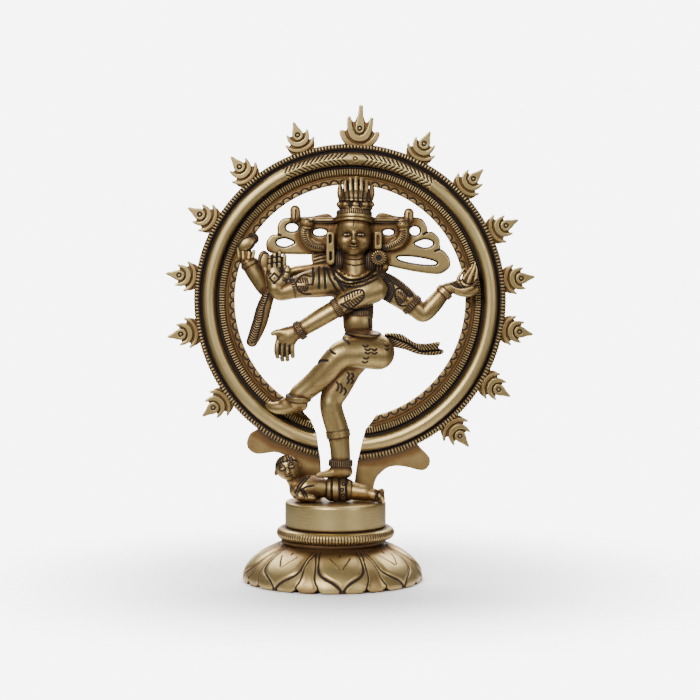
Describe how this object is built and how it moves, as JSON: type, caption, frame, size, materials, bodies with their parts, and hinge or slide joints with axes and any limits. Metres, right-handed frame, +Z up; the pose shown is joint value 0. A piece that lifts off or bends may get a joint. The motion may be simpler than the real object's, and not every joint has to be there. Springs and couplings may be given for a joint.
{
  "type": "brass nataraja statue",
  "caption": "Cast brass four-armed dancing figure inside a flame-edged arch, one foot raised, standing on a dwarf over a plinth drum, ribbed collar and domed lotus base.",
  "frame": {"origin": "on the table plane, below the centre of the arch", "axes": "+Z up, -Y towards the viewer (the way the figure faces), +X to the figure's own left"},
  "size_m": [0.1855, 0.0908, 0.2388],
  "materials": {
    "brass_polished": "antique brass, polished on the high places, dark in the recesses",
    "brass_aged": "antique brass with more brown toning",
    "steel": "zinc-plated fastener"
  },
  "bodies": {
    "root": {"lotus_base": "brass_aged", "ribbed_collar": "brass_aged", "plinth_drum": "brass_polished", "tie_bolt": "steel", "tie_washer": "steel", "tie_nut": "steel", "arch_ring": "brass_polished", "arch_foot_right": "brass_aged", "arch_foot_left": "brass_aged", "flame_01": "brass_polished", "flame_02": "brass_polished", "flame_03": "brass_polished", "flame_04": "brass_polished", "flame_05": "brass_polished", "flame_06": "brass_polished", "flame_07": "brass_polished", "flame_08": "brass_polished", "flame_09": "brass_polished", "flame_10": "brass_polished", "flame_11": "brass_polished", "flame_12": "brass_polished", "flame_13": "brass_polished", "flame_14": "brass_polished", "torso": "brass_polished", "head": "brass_polished", "headband": "brass_polished", "headdress": "brass_polished", "ear_drop_right": "brass_polished", "ear_rosette_left": "brass_polished", "snake_right": "brass_polished", "snake_left": "brass_polished", "hips": "brass_polished", "waist_belt": "brass_polished", "standing_leg": "brass_polished", "raised_leg": "brass_polished", "shin_band": "brass_polished", "standing_foot": "brass_polished", "standing_anklet": "brass_polished", "raised_foot": "brass_polished", "raised_anklet": "brass_polished", "sash_tail": "brass_polished", "crossing_arm": "brass_polished", "crossing_bracelet": "brass_polished", "crossing_hand": "brass_polished", "blessing_arm": "brass_polished", "blessing_hand": "brass_polished", "arm_cobra": "brass_polished", "drum_arm": "brass_polished", "drum_hand": "brass_polished", "hand_drum": "brass_polished", "flame_arm": "brass_polished", "flame_hand": "brass_polished", "hand_flame": "brass_polished", "hair_fan_right": "brass_polished", "hair_fan_left": "brass_polished", "dwarf_skirt": "brass_polished", "dwarf_body": "brass_polished", "dwarf_head": "brass_polished", "dwarf_legs": "brass_polished"}
  },
  "joints": []
}
